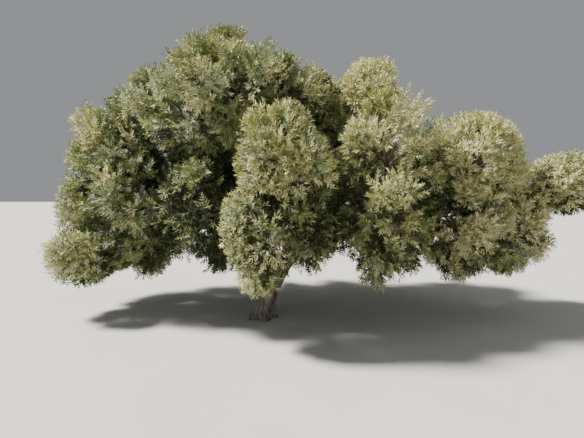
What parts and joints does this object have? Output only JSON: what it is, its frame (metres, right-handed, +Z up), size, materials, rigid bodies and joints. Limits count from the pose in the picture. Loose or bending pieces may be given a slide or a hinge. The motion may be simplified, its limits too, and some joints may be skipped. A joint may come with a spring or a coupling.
{
  "type": "olive tree",
  "caption": "Old spreading olive tree: a short leaning trunk, low forking boughs and a wide, lumpy evergreen crown of separate leaf masses.",
  "frame": {"origin": "middle of the flat cut under the trunk, at ground level", "axes": "+Z up; +X along the crown's long side, to the right of the pictured view; +Y away from the viewer"},
  "size_m": [8.7268, 4.2525, 4.5224],
  "materials": {
    "bark": "rough grey-brown bark, ribbed and fissured",
    "leaves": "grey-green leaves with paler silvery undersides, softly matt"
  },
  "bodies": {
    "root": {"trunk": "bark", "bough_top_1": "bark", "bough_top_2": "bark", "bough_top_3": "bark", "bough_top_4": "bark", "bough_top_5": "bark", "bough_right_1": "bark", "bough_right_2": "bark", "bough_right_3": "bark", "bough_front_1": "bark", "bough_front_2": "bark", "bough_front_3": "bark", "bough_left_1": "bark", "bough_left_2": "bark", "bough_left_3": "bark", "bough_left_4": "bark", "bough_low_1": "bark", "bough_low_2": "bark", "bough_middle_1": "bark", "bough_middle_2": "bark", "bough_middle_3": "bark", "bough_back_1": "bark", "bough_back_2": "bark", "bough_back_3": "bark", "bough_knob_1": "bark", "bough_end_1": "bark", "bough_skirt_1": "bark", "leaves_top_1": "leaves", "leaves_top_2": "leaves", "leaves_top_3": "leaves", "leaves_top_4": "leaves", "leaves_top_5": "leaves", "leaves_right_1": "leaves", "leaves_right_2": "leaves", "leaves_right_3": "leaves", "leaves_front_1": "leaves", "leaves_front_2": "leaves", "leaves_front_3": "leaves", "leaves_left_1": "leaves", "leaves_left_2": "leaves", "leaves_left_3": "leaves", "leaves_left_4": "leaves", "leaves_low_1": "leaves", "leaves_low_2": "leaves", "leaves_middle_1": "leaves", "leaves_middle_2": "leaves", "leaves_middle_3": "leaves", "leaves_back_1": "leaves", "leaves_back_2": "leaves", "leaves_back_3": "leaves", "leaves_knob_1": "leaves", "leaves_end_1": "leaves", "leaves_skirt_1": "leaves"}
  },
  "joints": []
}
